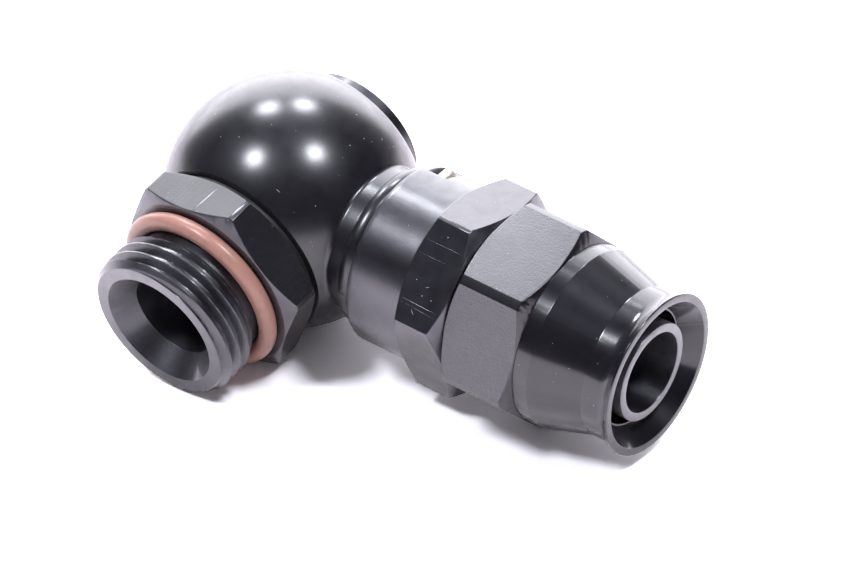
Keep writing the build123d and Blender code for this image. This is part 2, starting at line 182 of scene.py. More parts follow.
CAP_STEM_LENGTH = 5.0
CAP_STEM_CHAMFER = 0.5
CAP_STEM_GAP = 0.05
CAP_STEM_SPARE = 0.4       # of the hole's depth
CAP_SOCKET_ACROSS = 4.0
CAP_SOCKET_DEPTH = 3.4
CAP_SOCKET_EDGE = 0.08
GROOVE_WIDTH = 2.4
GROOVE_DEPTH = 1.4
GROOVE_LAND = 1.5
O_RING_SECTION = 2.46
O_RING_SIDES = 40
O_RING_COLUMNS = 200
SEAL_GAP = 0.03

# Neck, bead and spigot of the body
BODY_NECK = 10.2
BODY_NECK_FILLET = 0.8
NECK_END = 16.3
NECK_EDGE_ROUND = 0.3
NECK_RELIEF = 0.35         # between the neck and the bead
BEAD_START = 16.55
BEAD_END = 18.7
BEAD_RADIUS = 11.3
BEAD_ROUND = 0.9
SPIGOT = 8.95
SPIGOT_END = 31.3
SPIGOT_CHAMFER = 0.5
REAR_SEAL = 24.55
FRONT_SEAL = 28.35
HOSE_BORE = 5.59

# Hose stem
COLLAR_BACK = 19.0
COLLAR_RADIUS = 12.5
COLLAR_CHAMFER = 0.32
COLLAR_ROWS = (19.8, 23.4, 24.4, 25.4, 26.4)    # extra rings of its mesh, beside the slot
STEM_HEX_BACK = 27.35
STEM_HEX_FRONT = 34.75
STEM_ACROSS = 25.4
STEM_CORNER = 14.53
STEM_CORNER_FROM_FLOOR = 24.2
COLLAR_BORE_END = 31.9
UNDERCUT = 9.4
UNDERCUT_LENGTH = 1.0
STEM_THREAD = 10.2
STEM_THREAD_END = 43.75
STEM_THREAD_CHAMFER = 0.7
STEM_THREAD_ROWS = 14
STEM_PITCH = 1.27
NIPPLE = 6.83
NIPPLE_EDGE = 0.15
WIRE_STATION = 20.9
WIRE_RADIUS = 0.95
WIRE_TURN = 318.0
WIRE_SIDES = 20
WIRE_ARC_RINGS = 107
WIRE_RISE_RINGS = 12
WIRE_DOME_ANGLES = (25, 50, 70)
WIRE_DOME = 0.35           # height of its end's dome, as a part of its radius
WIRE_RISE = 8.3
WIRE_LEAN = 0.75           # of its raised end, towards the hex
SLOT_SHIFT = 0.75          # of the slot, towards the hex
WIRE_END_ANGLE = 181.6
WIRE_LEAD_GAP = 0.15
WIRE_SLOT_WIDTH = 3.0
WIRE_SLOT_WALL = 1.4
WIRE_SLOT_HEIGHT = 2.0
WIRE_SLOT_START = 2.6

# Socket nut
NUT_BACK = 34.9
NUT_HEX_FRONT = 46.05
NUT_ACROSS = 25.4
NUT_CORNER = 14.31
NUT_CORNER_FROM_FLOOR = -11.9
BAND_RADIUS = 12.5
BAND_FRONT = 48.25
BAND_EDGE = 0.25
TAPER_FRONT = 55.2
LAND_RADIUS = 10.4
LAND_FRONT = 57.55
LAND_FILLET = 0.6
FLARE_POWER = 2.2
FLARE_STEPS = 9
RIM_RADIUS = 11.28
RIM_FACE = 59.85
RIM_EDGE = 0.2             # height of its outer edge
RIM_BEVEL = 0.1
MOUTH_RADIUS = 10.15
MOUTH_EDGE = 0.15
THROAT_FACE = 57.05
THROAT_RADIUS = 7.96
THROAT_STEP = 0.22
THROAT_EDGE = 0.03
THROAT_BACK = 50.15
NUT_THREAD = 10.25
NUT_THREAD_END = 43.8
NUT_THREAD_CHAMFER = 0.6
NUT_CONE_BACK = 9.45
NIPPLE_END = 58.92

# Edges and meshes
HEX_CHAMFER = math.radians(30)
HEX_CHAMFER_STEP = 0.12
HEX_EDGE = 0.24            # rounding between a hex's chamfers and its flats
EDGE = 0.12                # rounding of machined edges
SHARP_EDGE = 0.05          # and of those that look sharp
ARC_STEPS = 4              # facets of a rounded edge
ROUND_SHARE = 0.45         # most of an edge that the round at one end may take
ROUND_PULL = 0.6           # how far a round is drawn towards its corner
GROOVE_STEPS = 13          # points of a round groove
FILLET_STEPS = 10
CUTTER_SPARE = 1.0         # how far a cutter reaches past what it cuts
CUTTER_COLUMNS = 48
SECTOR_COLUMNS = 36        # columns in each sixth of a turn
SHARP_ANGLE = 28           # degrees from which an edge is shaded sharp
CORNER_COLUMNS = (-0.5, -0.25, 0.0, 0.25, 0.5)  # degrees about each end of a turned corner

# Scratches, dust and painted highlights: specks at pixels of the photograph, and scratches from
# pixel to pixel with their width. The rest of the dust is random.
BALL_SPECKS = ((215, 114), (239, 137), (356.6, 114.5), (364, 138.5), (382, 139.4), (393.4, 146.6),
               (350, 145.4), (315.4, 206))
BALL_SCRATCHES = ((276, 189, 280, 192.5, 0.09),)
STEM_SPECKS = ((448, 237.5), (416.5, 279.5), (422, 296), (431, 301))
STEM_SCRATCHES = ((400, 296, 437, 315, 0.05), (400, 300, 435, 320, 0.03),
                  (426, 238, 465, 257, 0.03), (418, 251, 445, 264, 0.03),
                  (425, 288, 430, 287, 0.06), (411, 309, 413, 315, 0.06))
# On the bolt these are not scratches and dust: the specks are painted glints at the hex's corners,
# and the lines are painted highlights along its edges.
BOLT_PAINTED_GLINTS = ((228, 220), (233.5, 220), (247, 203))
BOLT_PAINTED_HIGHLIGHTS = ((193, 210, 219, 187, 0.2), (230.5, 217, 247, 202.5, 0.34))
# Sizes of the marks: specks are dust, and on the bolt painted glints; lines are scratches, and on
# the bolt painted highlights.
SEEN_SPECK_AND_GLINT = 0.09
DUST_SIZES = (0.025, 0.07)
SPECK_AND_GLINT_ASPECT = 0.7
SPECK_AND_GLINT_HEIGHT = 0.3         # as a part of its size
SPECK_AND_GLINT_DEPTH = 0.03         # in the surface
SCRATCH_AND_HIGHLIGHT_POINTS = 14
SCRATCH_AND_HIGHLIGHT_TIP = 0.3          # of a step, past each end
SCRATCH_AND_HIGHLIGHT_HEIGHT = 0.25      # as a part of its width
SCRATCH_AND_HIGHLIGHT_DEPTH = 0.01
OUTSIDE = 0.05             # metres from an arm's axis to outside every piece
DUST_SEED = 7

swivels = {joint["name"]: joint for joint in frame["record"]["behaviour"]["joints"]}
ball_centre = Vector(swivels["banjo_swivel"]["pos_m"])
port_axis = Vector(swivels["banjo_swivel"]["axis"]).normalized()
hose_axis = Vector(swivels["hose_swivel"]["axis"]).normalized()
upright = hose_axis.cross(-port_axis).normalized()
floor_z = cad_box[0][2]
chance = random.Random(DUST_SEED)


def arm_matrix(axis):
    """Frame of an arm: Z along it, X down and square to both arms, origin at the ball's centre."""
    down = -upright
    side = axis.cross(down)
    turn = Matrix((down, side, axis)).transposed().to_4x4()
    return Matrix.Translation(ball_centre) @ turn


PORT_ARM = arm_matrix(port_axis)
HOSE_ARM = arm_matrix(hose_axis)


def floor_angle(arm):
    """Direction of the floor about an arm, in radians from local X."""
    down = arm.to_3x3().transposed() @ Vector((0, 0, -1))
    return math.atan2(down.y, down.x)


# Angle of one corner of each hex about its arm
BOLT_TURN = floor_angle(PORT_ARM) + math.radians(BOLT_CORNER_FROM_FLOOR)
STEM_TURN = floor_angle(HOSE_ARM) + math.radians(STEM_CORNER_FROM_FLOOR)
NUT_TURN = floor_angle(HOSE_ARM) + math.radians(NUT_CORNER_FROM_FLOOR)


# Outlines and meshes

def rounded(outline):
    """Closed outline of (radius, station, rounding) points with its corners made round."""
    result = []
    count = len(outline)
    for index, (radius, station, rounding) in enumerate(outline):
        here = np.array((radius, station))
        if rounding == 0:
            result.append(here)
            continue
        before = np.array(outline[index - 1][:2]) - here
        after = np.array(outline[(index + 1) % count][:2]) - here
        reach_before = np.linalg.norm(before)
        reach_after = np.linalg.norm(after)
        before = before / max(reach_before, 1e-9)
        after = after / max(reach_after, 1e-9)
        half_angle = math.acos(max(-1.0, min(1.0, float(before @ after)))) / 2
        setback = rounding / max(math.tan(half_angle), 1e-6)
        setback = min(setback, ROUND_SHARE * reach_before, ROUND_SHARE * reach_after)
        start = here + before * setback
        end = here + after * setback
        pull = ROUND_PULL + (1 - ROUND_PULL) * math.sin(half_angle)
        for step in range(ARC_STEPS + 1):
            part = step / ARC_STEPS
            weight = 2 * part * (1 - part) * pull
            rest = 1 - weight
            result.append(start * rest * (1 - part) + end * rest * part + here * weight)
    return result


def columns_for(corner_angle=0.0, across=None, corner_radius=None):
    """Angles of the mesh columns, with extra ones at the edges of a hex's turned corners."""
    offsets = list(np.linspace(-30, 30, SECTOR_COLUMNS, endpoint=False))
    if across:
        land = 30 - math.degrees(math.acos(across / 2 / corner_radius))
        for edge in (-land, land):
            offsets += [edge + step for step in CORNER_COLUMNS]
        offsets.append(0.0)
    offsets = sorted(set(round(value, 4) for value in offsets))
    return [corner_angle + math.radians(60 * sector + value)
            for sector in range(6) for value in offsets]


def hex_radius(angle, across, corner_radius, corner_angle):
    """Radius of a hex with turned corners at an angle."""
    from_corner = abs((angle - corner_angle + math.pi / 6) % (math.pi / 3) - math.pi / 6)
    flat = across / 2 / math.cos(math.pi / 6 - from_corner)
    return min(flat, corner_radius)


def hex_outline(radius, low, high, across):
    """Outline points of a hex from its low to its high station, at one column's radius."""
    start = across / 2 - HEX_CHAMFER_STEP
    recess = (radius - start) * math.tan(HEX_CHAMFER)
    return [(start, low, SHARP_EDGE), (radius, low + recess, HEX_EDGE),
            (radius, high - recess, HEX_EDGE), (start, high, SHARP_EDGE)]


def mesh_object(name, vertices, faces, arm):
    """Mesh from points in an arm's frame, in millimetres, welded and with its normals outwards."""
    mesh = bpy.data.meshes.new(name)
    place = np.array(arm)
    points = np.asarray(vertices, dtype=float) * MM
    points = points @ place[:3, :3].T + place[:3, 3]
    mesh.from_pydata(points.tolist(), [], faces)
    work = bmesh.new()
    work.from_mesh(mesh)
    bmesh.ops.remove_doubles(work, verts=work.verts, dist=1e-7)
    bmesh.ops.dissolve_degenerate(work, edges=work.edges, dist=1e-7)
    bmesh.ops.recalc_face_normals(work, faces=work.faces)
    work.to_mesh(mesh)
    work.free()
    piece = bpy.data.objects.new(name, mesh)
    bpy.context.scene.collection.objects.link(piece)
    return piece


def turned(name, arm, outline_at, angles):
    """Solid from closed outlines of (radius, station), one for each column angle."""
    rows = [np.array(outline_at(angle)) for angle in angles]
    per_row = len(rows[0])
    vertices = []
    for angle, row in zip(angles, rows):
        radii, stations = row[:, 0], row[:, 1]
        ring = (radii * math.cos(angle), radii * math.sin(angle), stations)
        vertices.append(np.column_stack(ring))
    faces = []
    total = len(angles)
    for column in range(total):
        here = column * per_row
        there = (column + 1) % total * per_row
        for step in range(per_row):
            following = (step + 1) % per_row
            faces.append((here + step, there + step, there + following, here + following))
    return mesh_object(name, np.concatenate(vertices), faces, arm)


def plain_outline(points):
    """Outline that is the same in every column."""
    fixed = rounded(points)
    return lambda angle: fixed


def cut(piece, *cutters):
    """The piece with the cutters taken out of it; the cutters are removed."""
    for cutter in cutters:
        step = piece.modifiers.new("cut", "BOOLEAN")
        step.operation = "DIFFERENCE"
        step.solver = "EXACT"
        step.object = cutter
    bpy.context.view_layer.update()
    result = bpy.data.meshes.new_from_object(
        piece.evaluated_get(bpy.context.evaluated_depsgraph_get()))
    piece.modifiers.clear()
    piece.data = result
    for cutter in cutters:
        bpy.data.objects.remove(cutter)
    return piece


def smooth(piece, sharp_angle=SHARP_ANGLE):
    """Smooth shading with flats kept flat."""
    piece.data.shade_smooth()
    piece.data.set_sharp_from_angle(angle=math.radians(sharp_angle))
    weighted = piece.modifiers.new("weighted normals", "WEIGHTED_NORMAL")
    weighted.keep_sharp = True
    return piece


# Pieces on the bolt

def thread_outline(angle, radius, low, high, pitch, depth, chamfer, rows):
    """Points of a thread at one angle, from its run-out at low to its chamfer at high."""
    points = []
    for station in np.arange(low, high, pitch / rows):
        phase = (station / pitch - angle / (2 * math.pi)) % 1.0
        from_crest = abs(phase - 0.5) * pitch
        drop = (from_crest - pitch / THREAD_CREST_PART) / math.tan(THREAD_FLANK)
        drop = min(max(drop, 0.0), depth)
        run_out = radius - depth + (station - low)
        lead_in = radius - chamfer + (high - station)
        points.append((min(radius - drop, run_out, lead_in), station, 0))
    return points + [(radius - chamfer, high, 0)]


def groove_outline(radius, station, sign):
    """Points of a seal groove met while the outline runs along a shaft in one direction."""
    half = GROOVE_WIDTH / 2 * sign
    floor = radius - GROOVE_DEPTH
    return [(radius, station - half, 0), (floor, station - half, 0),
            (floor, station + half, 0), (radius, station + half, 0)]


def bolt_outline(angle):
    """Bolt's outline at one angle, from the bore's bottom round the outside and back."""
    radius = hex_radius(angle, BOLT_ACROSS, BOLT_CORNER, BOLT_TURN)
    hex_points = hex_outline(radius, HEX_BACK, HEX_FRONT, BOLT_ACROSS)[::-1]
    bore = [(0, BORE_BOTTOM, 0), (PORT_BORE, BORE_BOTTOM, BORE_BOTTOM_ROUND),
            (PORT_BORE, PORT_END - COUNTERSINK_DEPTH, EDGE), (COUNTERSINK_RADIUS, PORT_END, EDGE)]
    thread = thread_outline(angle, THREAD_RADIUS, THREAD_START, PORT_END, THREAD_PITCH,
                            THREAD_DEPTH, THREAD_CHAMFER, THREAD_ROWS)[::-1]
    hex_groove = HEX_SIDE_FACE - GROOVE_LAND - GROOVE_WIDTH / 2
    cap_groove = -(CAP_SIDE_FACE - GROOVE_LAND - GROOVE_WIDTH / 2)
    hole_end = CAP_SEAT + CAP_STEM_LENGTH + CAP_STEM_SPARE
    shaft = [(HEX_JOURNAL, HEX_BACK, 0)] + groove_outline(HEX_JOURNAL, hex_groove, -1) + [
        (HEX_JOURNAL, CHAMBER_HALF_WIDTH, 0), (WAIST, CHAMBER_HALF_WIDTH, 0),
        (WAIST, -CHAMBER_HALF_WIDTH, 0), (CAP_JOURNAL, -CHAMBER_HALF_WIDTH, 0),
    ] + groove_outline(CAP_JOURNAL, cap_groove, -1) + [
        (CAP_JOURNAL, CAP_SEAT + BORE_LEAD, 0), (CAP_JOURNAL - BORE_LEAD, CAP_SEAT, 0),
        (CAP_STEM + CAP_STEM_GAP, CAP_SEAT, 0), (CAP_STEM + CAP_STEM_GAP, hole_end, 0),
        (0, hole_end, 0),
    ]
    points = bore + thread + [(NECK_RADIUS, THREAD_START, 0), (NECK_RADIUS, HEX_FRONT, NECK_FILLET)]
    return rounded(points + hex_points + shaft)


def cylinder(name, arm, radius, low, high, columns=CUTTER_COLUMNS):
    """Closed cylinder about the Z axis of a frame."""
    outline = [(0, low), (radius, low), (radius, high), (0, high)]
    angles = np.linspace(0, 2 * math.pi, columns, endpoint=False)
    return turned(name, arm, lambda angle: outline, list(angles))


def make_bolt():
    """Threaded bolt with its hex and cross holes."""
    columns = columns_for(BOLT_TURN, BOLT_ACROSS, BOLT_CORNER)
    bolt = turned("bolt_body", PORT_ARM, bolt_outline, columns)
    holes = []
    for spoke in range(CROSS_HOLES):
        turn = Matrix.Rotation(spoke * 2 * math.pi / CROSS_HOLES, 4, "Z") @ Matrix.Rotation(
            math.pi / 2, 4, "Y")
        holes.append(cylinder("hole", PORT_ARM @ turn, CROSS_HOLE_RADIUS, PORT_BORE / 2,
                              CHAMBER_RADIUS))
    return smooth(cut(bolt, *holes))


def make_port_o_ring():
    """O-ring in the neck behind the thread."""
    section = O_RING_SECTION / 2
    ring = NECK_RADIUS + SEAL_GAP + section
    station = HEX_FRONT + SEAL_GAP + section
    outline = [(ring + section * math.cos(step), station + section * math.sin(step))
               for step in np.linspace(0, 2 * math.pi, O_RING_SIDES, endpoint=False)]
    angles = np.linspace(0, 2 * math.pi, O_RING_COLUMNS, endpoint=False)
    return smooth(turned("port_seal", PORT_ARM, lambda angle: outline, list(angles)),
                  sharp_angle=60)


def make_ring(name, inner, outer, low, high):
    """Flat washer on the bolt."""
    outline = plain_outline([(inner, low, SHARP_EDGE), (outer, low, WASHER_EDGE),
                             (outer, high, WASHER_EDGE), (inner, high, SHARP_EDGE)])
    return smooth(turned(name, PORT_ARM, outline, columns_for()))


def cap_outline(angle):
    """Retaining screw's outline at one angle, with its hex socket."""
    face = CAP_SEAT - CAP_HEAD_THICKNESS
    socket = hex_radius(angle, CAP_SOCKET_ACROSS, CAP_SOCKET_ACROSS, 0)
    end = CAP_SEAT + CAP_STEM_LENGTH
    return rounded([
        (0, face + CAP_SOCKET_DEPTH, 0), (socket, face + CAP_SOCKET_DEPTH, 0),
        (socket, face, CAP_SOCKET_EDGE),
        (CAP_HEAD_RADIUS - CAP_HEAD_CHAMFER, face, CAP_HEAD_EDGE),
        (CAP_HEAD_RADIUS, face + CAP_HEAD_CHAMFER, CAP_HEAD_EDGE),
        (CAP_HEAD_RADIUS, CAP_SEAT, SHARP_EDGE), (CAP_STEM, CAP_SEAT, 0),
        (CAP_STEM, end - CAP_STEM_CHAMFER, 0), (CAP_STEM - CAP_STEM_CHAMFER, end, 0), (0, end, 0),
    ])


def make_cap():
    """Retaining screw with a low round head."""
    return smooth(turned("round_cap", PORT_ARM, cap_outline, columns_for()))


# Body

def ball_arc():
    """Points of the ball from its far pole to where the neck would meet it."""
    neck_start = math.sqrt(BALL_RADIUS**2 - BODY_NECK**2)
    sweep_end = math.acos(neck_start / BALL_RADIUS)
    arc = [(BALL_RADIUS * math.sin(step), BALL_RADIUS * math.cos(step), 0)
           for step in np.linspace(math.pi, sweep_end, BALL_STEPS)]
    arc[0] = (0, -BALL_RADIUS, 0)
    return arc


def fillet_between_ball_and_neck():
    """Points of the hollow round where the ball runs into the neck."""
    radius = BODY_NECK_FILLET
    centre_r = BODY_NECK + radius
    centre_z = math.sqrt((BALL_RADIUS + radius) ** 2 - centre_r**2)
    start = math.atan2(-centre_z, -centre_r)
    return [(centre_r + radius * math.cos(step), centre_z + radius * math.sin(step), 0)
            for step in np.linspace(start, -math.pi, FILLET_STEPS)]


def wire_groove(radius, sign):
    """Half-round groove for the wire, cut out of a bore (sign 1) or into a shaft (sign -1)."""
    reach = (WIRE_RADIUS + RUNNING_GAP) * sign
    return [(radius + reach * math.sin(step), WIRE_STATION + reach * math.cos(step), 0)
            for step in np.linspace(0, math.pi, GROOVE_STEPS)]


def make_body():
    """Ball body with its bore, flats and passage."""
    hollow = fillet_between_ball_and_neck()
    arc = [point for point in ball_arc() if point[1] < hollow[0][1]]
    seals = groove_outline(SPIGOT, REAR_SEAL, 1) + groove_outline(SPIGOT, FRONT_SEAL, 1)
    points = arc + hollow + [
        (BODY_NECK, NECK_END, NECK_EDGE_ROUND), (BODY_NECK - NECK_RELIEF, NECK_END, 0),
        (BODY_NECK - NECK_RELIEF, BEAD_START, 0), (BEAD_RADIUS, BEAD_START, BEAD_ROUND),
        (BEAD_RADIUS, BEAD_END, BEAD_ROUND), (SPIGOT, BEAD_END, 0),
    ] + wire_groove(SPIGOT, -1) + seals + [
        (SPIGOT, SPIGOT_END - SPIGOT_CHAMFER, 0), (SPIGOT - SPIGOT_CHAMFER, SPIGOT_END, 0),
        (0, SPIGOT_END, 0),
    ]
    body = turned("ball_body", HOSE_ARM, plain_outline(points), columns_for())
    far = BALL_RADIUS + CUTTER_SPARE
    hex_bore = HEX_JOURNAL + RUNNING_GAP
    cap_bore = CAP_JOURNAL + RUNNING_GAP
    flat_edge = math.sqrt(BALL_RADIUS**2 - HEX_SIDE_FACE**2)
    bore = turned("bore", PORT_ARM, plain_outline([
        (0, -far, 0), (far, -far, 0), (far, -CAP_SIDE_FACE, 0),
        (cap_bore + BORE_LEAD, -CAP_SIDE_FACE, 0),
        (cap_bore, BORE_LEAD - CAP_SIDE_FACE, 0), (cap_bore, -CHAMBER_HALF_WIDTH, 0),
        (CHAMBER_RADIUS, -CHAMBER_HALF_WIDTH, 0), (CHAMBER_RADIUS, CHAMBER_HALF_WIDTH, 0),
        (hex_bore, CHAMBER_HALF_WIDTH, 0), (hex_bore, HEX_SIDE_FACE - BORE_LEAD, 0),
        (hex_bore + BORE_LEAD, HEX_SIDE_FACE, 0), (flat_edge - FLAT_BEVEL_INSIDE, HEX_SIDE_FACE, 0),
        (flat_edge + FLAT_BEVEL_OUTSIDE, HEX_SIDE_FACE - FLAT_BEVEL_DROP, 0),
        (far, HEX_SIDE_FACE - FLAT_BEVEL_DROP, 0), (far, far, 0), (0, far, 0),
    ]), columns_for())
    passage = cylinder("passage", HOSE_ARM, HOSE_BORE, WAIST, SPIGOT_END + CUTTER_SPARE,
                       2 * CUTTER_COLUMNS)
    return smooth(cut(body, bore, passage))


# Pieces on the hose arm

def stem_outline(angle):
    """Hose stem's outline at one angle."""
    radius = hex_radius(angle, STEM_ACROSS, STEM_CORNER, STEM_TURN)
    collar_bore = SPIGOT + RUNNING_GAP
    thread = thread_outline(angle, STEM_THREAD, STEM_HEX_FRONT + UNDERCUT_LENGTH, STEM_THREAD_END,
                            STEM_PITCH, STEM_THREAD - UNDERCUT, STEM_THREAD_CHAMFER,
                            STEM_THREAD_ROWS)
    return rounded([
        (collar_bore + COLLAR_CHAMFER, COLLAR_BACK, SHARP_EDGE),
        (COLLAR_RADIUS, COLLAR_BACK, COLLAR_CHAMFER),
    ] + [(COLLAR_RADIUS, station, 0) for station in COLLAR_ROWS] + [
        (COLLAR_RADIUS, STEM_HEX_BACK, 0),
    ] + hex_outline(radius, STEM_HEX_BACK, STEM_HEX_FRONT, STEM_ACROSS) + [
        (UNDERCUT, STEM_HEX_FRONT, 0),
    ] + thread + [
        (NIPPLE, STEM_THREAD_END, 0), (NIPPLE, NIPPLE_END, NIPPLE_EDGE),
        (HOSE_BORE, NIPPLE_END, EDGE), (HOSE_BORE, COLLAR_BORE_END, 0),
        (collar_bore, COLLAR_BORE_END, 0),
    ] + wire_groove(collar_bore, 1) + [(collar_bore, COLLAR_BACK + COLLAR_CHAMFER, 0)])


def wire_matrix():
    """Frame of the wire: X points to where it leaves the ring, Y along its straight end."""
    return HOSE_ARM @ Matrix.Translation((0, 0, WIRE_STATION * MM)) @ Matrix.Rotation(
        math.radians(WIRE_END_ANGLE), 4, "Z") @ Matrix.Rotation(math.pi, 4, "X")


def block(name, arm, low, high):
    """Box between two corners, in an arm's frame."""
    corners = [(x, y, z) for x in (low[0], high[0]) for y in (low[1], high[1])
               for z in (low[2], high[2])]
    faces = [(0, 1, 3, 2), (4, 6, 7, 5), (0, 4, 5, 1), (2, 3, 7, 6), (0, 2, 6, 4), (1, 5, 7, 3)]
    return mesh_object(name, corners, faces, arm)


def make_stem():
    """Collar, hex, thread and nipple, with the slot that the wire went in through."""
    columns = columns_for(STEM_TURN, STEM_ACROSS, STEM_CORNER)
    stem = turned("stem_body", HOSE_ARM, stem_outline, columns)
    ring = SPIGOT + RUNNING_GAP / 2
    low = (ring - WIRE_SLOT_WALL, WIRE_SLOT_START, -WIRE_SLOT_WIDTH / 2 - SLOT_SHIFT)
    high = (ring + WIRE_SLOT_HEIGHT, COLLAR_RADIUS + 2 * CUTTER_SPARE,
            WIRE_SLOT_WIDTH / 2 - SLOT_SHIFT)
    slot = block("slot", wire_matrix(), low, high)
    turn = Matrix.Translation((ring * MM, 0, 0)) @ Matrix.Rotation(-math.pi / 2, 4, "X")
    lead = cylinder("lead", wire_matrix() @ turn, WIRE_RADIUS + WIRE_LEAD_GAP, 0,
                    WIRE_SLOT_START + CUTTER_SPARE)
    return smooth(cut(stem, slot, lead))


def make_wire():
    """Retaining wire as a round tube along its ring and its straight end."""
    ring = SPIGOT + RUNNING_GAP / 2
    arc = [(ring * math.cos(step), ring * math.sin(step), math.cos(step), math.sin(step), 1.0, 0.0)
           for step in np.radians(np.linspace(-WIRE_TURN, 0, WIRE_ARC_RINGS))]
    rise = [(ring, WIRE_RISE * part, 1.0, 0.0, 1.0, WIRE_LEAN * part**2)
            for part in np.linspace(0, 1, WIRE_RISE_RINGS)[1:]]
    dome = [(ring, WIRE_RISE + WIRE_RADIUS * WIRE_DOME * math.sin(step), 1.0, 0.0,
             math.cos(step), WIRE_LEAN) for step in np.radians(WIRE_DOME_ANGLES)]
    vertices = []
    for x, y, out_x, out_y, width, lean in arc + rise + dome:
        for step in np.linspace(0, 2 * math.pi, WIRE_SIDES, endpoint=False):
            reach = WIRE_RADIUS * width * math.cos(step)
            vertices.append((x + out_x * reach, y + out_y * reach,
                             WIRE_RADIUS * width * math.sin(step) - lean))
    faces = []
    rings = len(arc) + len(rise) + len(dome)
    for index in range(rings - 1):
        for side in range(WIRE_SIDES):
            following = (side + 1) % WIRE_SIDES
            here, there = index * WIRE_SIDES, (index + 1) * WIRE_SIDES
            faces.append((here + side, here + following, there + following, there + side))
    faces.append(tuple(range(WIRE_SIDES)))
    faces.append(tuple((rings - 1) * WIRE_SIDES + side for side in range(WIRE_SIDES)))
    return smooth(mesh_object("lock_wire", vertices, faces, wire_matrix()), sharp_angle=50)


def nut_outline(angle):
    """Socket nut's outline at one angle."""
    radius = hex_radius(angle, NUT_ACROSS, NUT_CORNER, NUT_TURN)
    reach = RIM_RADIUS - LAND_RADIUS
    length = RIM_FACE - LAND_FRONT - RIM_EDGE
    flare = [(LAND_RADIUS + reach * part**FLARE_POWER, LAND_FRONT + length * part, 0)
             for part in np.linspace(0, 1, FLARE_STEPS)[1:-1]]
    return rounded(hex_outline(radius, NUT_BACK, NUT_HEX_FRONT, NUT_ACROSS) + [
        (BAND_RADIUS, NUT_HEX_FRONT, 0), (BAND_RADIUS, BAND_FRONT, BAND_EDGE),
        (LAND_RADIUS, TAPER_FRONT, LAND_FILLET), (LAND_RADIUS, LAND_FRONT, 0),
    ] + flare + [
        (RIM_RADIUS, RIM_FACE - RIM_EDGE, EDGE), (RIM_RADIUS - RIM_BEVEL, RIM_FACE, EDGE),
        (MOUTH_RADIUS, RIM_FACE, MOUTH_EDGE),
        (THROAT_RADIUS + THROAT_STEP, THROAT_FACE, THROAT_EDGE),
        (THROAT_RADIUS, THROAT_FACE, SHARP_EDGE), (THROAT_RADIUS, THROAT_BACK, 0),
        (NUT_CONE_BACK, NUT_THREAD_END, 0), (NUT_THREAD, NUT_THREAD_END, 0),
        (NUT_THREAD, NUT_BACK + NUT_THREAD_CHAMFER, 0),
        (NUT_THREAD + NUT_THREAD_CHAMFER, NUT_BACK, 0),
    ])


def make_nut():
    """Socket nut with its flared mouth."""
    columns = columns_for(NUT_TURN, NUT_ACROSS, NUT_CORNER)
    return smooth(turned("flared_nut", HOSE_ARM, nut_outline, columns))


# Scratches, dust and painted highlights

def view_directions():
    """Right, up and forward of the camera, and its place."""
    azimuth = math.radians(CAMERA_AZIMUTH)
    elevation = math.radians(CAMERA_ELEVATION)
    forward = Vector((-math.sin(azimuth) * math.cos(elevation),
                      math.cos(azimuth) * math.cos(elevation), -math.sin(elevation)))
    level = Vector((math.cos(azimuth), math.sin(azimuth), 0))
    upward = level.cross(forward)
    roll = math.radians(CAMERA_ROLL)
    right = level * math.cos(roll) + upward * math.sin(roll)
    up = right.cross(forward)
    offset = right * BALL_RIGHT - up * BALL_DOWN + forward * BALL_DEPTH
    return right, up, forward, ball_centre - offset * MM


def seen_at(piece, pixel):
    """Point and outward direction of a piece that the camera sees at a pixel."""
    right, up, forward, eye = view_directions()
    ray = (right * (pixel[0] - IMAGE_WIDTH / 2) - up * (pixel[1] - IMAGE_HEIGHT / 2)
           + forward * CAMERA_FOCAL_PX)
    found, point, normal, _ = piece.ray_cast(eye, ray.normalized())
    return (point / MM, normal) if found else None


def around_arm(piece, arm, station, angle):
    """Point and outward direction of a piece, met from outside at a station and an angle."""
    inwards = arm.to_3x3() @ Vector((-math.cos(angle), -math.sin(angle), 0))
    target = arm @ Vector((0, 0, station * MM))
    found, point, normal, _ = piece.ray_cast(target - inwards * OUTSIDE, inwards)
    return (point / MM, normal) if found else None


def add_speck_and_glint(vertices, faces, spot, size):
    """Small flat spot on a surface: a dust speck, and on the bolt a painted glint."""
    point, normal = spot
    side = normal.orthogonal().normalized()
    other = normal.cross(side)
    start = len(vertices)
    vertices += [point + side * size, point + other * size * SPECK_AND_GLINT_ASPECT, point - side * size,
                 point - other * size * SPECK_AND_GLINT_ASPECT, point + normal * size * SPECK_AND_GLINT_HEIGHT,
                 point - normal * SPECK_AND_GLINT_DEPTH]
    for step in range(4):
        here, there = start + step, start + (step + 1) % 4
        faces += [(here, there, start + 4), (there, here, start + 5)]


def add_scratch_and_highlight_line(vertices, faces, spots, width):
    """Thin ridge along a row of places on a surface, pointed at both ends: a scratch, and on the
    bolt a painted highlight line.
    """
    start = len(vertices)
    last = len(spots) - 1
    for index, (point, normal) in enumerate(spots):
        along = spots[min(index + 1, last)][0] - spots[max(index - 1, 0)][0]
        side = normal.cross(along).normalized() * width / 2
        side *= math.sin(math.pi * (index + SCRATCH_AND_HIGHLIGHT_TIP) / (last + 2 * SCRATCH_AND_HIGHLIGHT_TIP))
        vertices += [point - side - normal * SCRATCH_AND_HIGHLIGHT_DEPTH, point + normal * width * SCRATCH_AND_HIGHLIGHT_HEIGHT,
                     point + side - normal * SCRATCH_AND_HIGHLIGHT_DEPTH]
    for index in range(last):
        here, there = start + 3 * index, start + 3 * index + 3
        for step in range(3):
            following = (step + 1) % 3
            faces.append((here + step, here + following, there + following, there + step))
    end = start + 3 * last
    faces += [(start, start + 1, start + 2), (end + 2, end + 1, end)]


